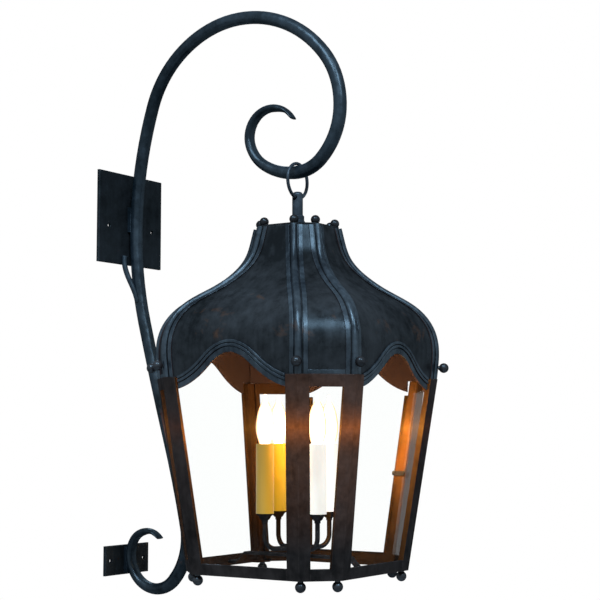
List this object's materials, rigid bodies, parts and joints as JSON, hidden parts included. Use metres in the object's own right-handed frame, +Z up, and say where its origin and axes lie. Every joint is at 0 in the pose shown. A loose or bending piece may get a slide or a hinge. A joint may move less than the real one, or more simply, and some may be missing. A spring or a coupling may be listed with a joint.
{
  "type": "gooseneck wall lantern",
  "caption": "Octagonal iron lantern with ogee roof, waved skirts, glazed sides, hinged door and candle lamps, hung by a ring from a scrolled gooseneck wall bracket.",
  "frame": {"origin": "centre of the upper wall plate's back face, on the wall", "axes": "+Z up, -Y out from the wall, +X to the right when facing the wall"},
  "size_m": [0.3754, 0.5156, 0.9002],
  "materials": {
    "bracket_iron": "hammered bar with a dark waxed patina",
    "plate_iron": "flat plate, dark waxed patina",
    "ring_iron": "drawn wire, dark patina",
    "roof_iron": "hand-worked sheet, blue-black waxed patina",
    "trim_iron": "formed strip and bar, blue-black waxed patina",
    "frame_iron": "rolled angle, brown-black patina",
    "ball_iron": "cast balls, brown-black patina",
    "pane_glass": "clear polished sheet",
    "candle_sleeve": "cream candle cover, slightly waxy",
    "socket_black": "moulded, matt",
    "lamp_brass": "plain",
    "lamp_glass": "clear blown",
    "lamp_wire": "drawn",
    "hinge_iron": "turned, dark patina"
  },
  "bodies": {
    "bracket": {"gooseneck_bar": "bracket_iron", "upper_wall_plate": "plate_iron", "lower_wall_plate": "plate_iron", "upper_weld_saddle": "bracket_iron", "lower_weld_saddle": "bracket_iron", "plate_brace": "bracket_iron"},
    "ring": {"hanging_ring": "ring_iron"},
    "lantern": {"hanger_stem": "ring_iron", "stem_collar": "ring_iron", "roof_cap": "roof_iron", "roof_wide_panels": "roof_iron", "roof_narrow_panels": "roof_iron", "roof_ribs": "trim_iron", "rib_fillets": "trim_iron", "skirt_mouldings": "trim_iron", "narrow_skirt_lips": "trim_iron", "crown_balls": "ball_iron", "eave_balls": "ball_iron", "corner_posts": "frame_iron", "foot_balls": "ball_iron", "narrow_top_rails": "frame_iron", "bottom_rails": "frame_iron", "glazing_bars": "frame_iron", "wide_glass_panes": "pane_glass", "narrow_glass_panes": "pane_glass", "candle_strap": "frame_iron", "candle_hub": "frame_iron", "candle_arms": "frame_iron", "candle_cups": "frame_iron", "candle_sleeves": "candle_sleeve", "lamp_sockets": "socket_black", "bulb_bases": "lamp_brass", "bulb_glass": "lamp_glass", "bulb_filaments": "lamp_wire", "hinge_leaves": "hinge_iron", "hinge_pins": "hinge_iron"},
    "door": {"door_frame": "frame_iron", "door_glass": "pane_glass", "door_hinge_knuckles": "hinge_iron"},
    "latch": {"latch_knob": "hinge_iron", "latch_tongue": "hinge_iron"}
  },
  "joints": [
    {"name": "ring_swing", "type": "hinge", "parent": "bracket", "child": "ring", "pos_m": [0, -0.32792, 0.04684], "axis": [0, 1, 0], "range_deg": [-15, 15]},
    {"name": "lantern_swing", "type": "hinge", "parent": "ring", "child": "lantern", "pos_m": [0, -0.32792, 0.00764], "axis": [1, 0, 0], "range_deg": [-20, 5]},
    {"name": "door_swing", "type": "hinge", "parent": "lantern", "child": "door", "pos_m": [0.13746, -0.24489, -0.54155], "axis": [0.1365, 0.0826, 0.9872], "range_deg": [0, 100]},
    {"name": "latch_turn", "type": "hinge", "parent": "door", "child": "latch", "pos_m": [0.15258, -0.40689, -0.403], "axis": [0.9906, 0, -0.1369], "range_deg": [0, 90]}
  ]
}
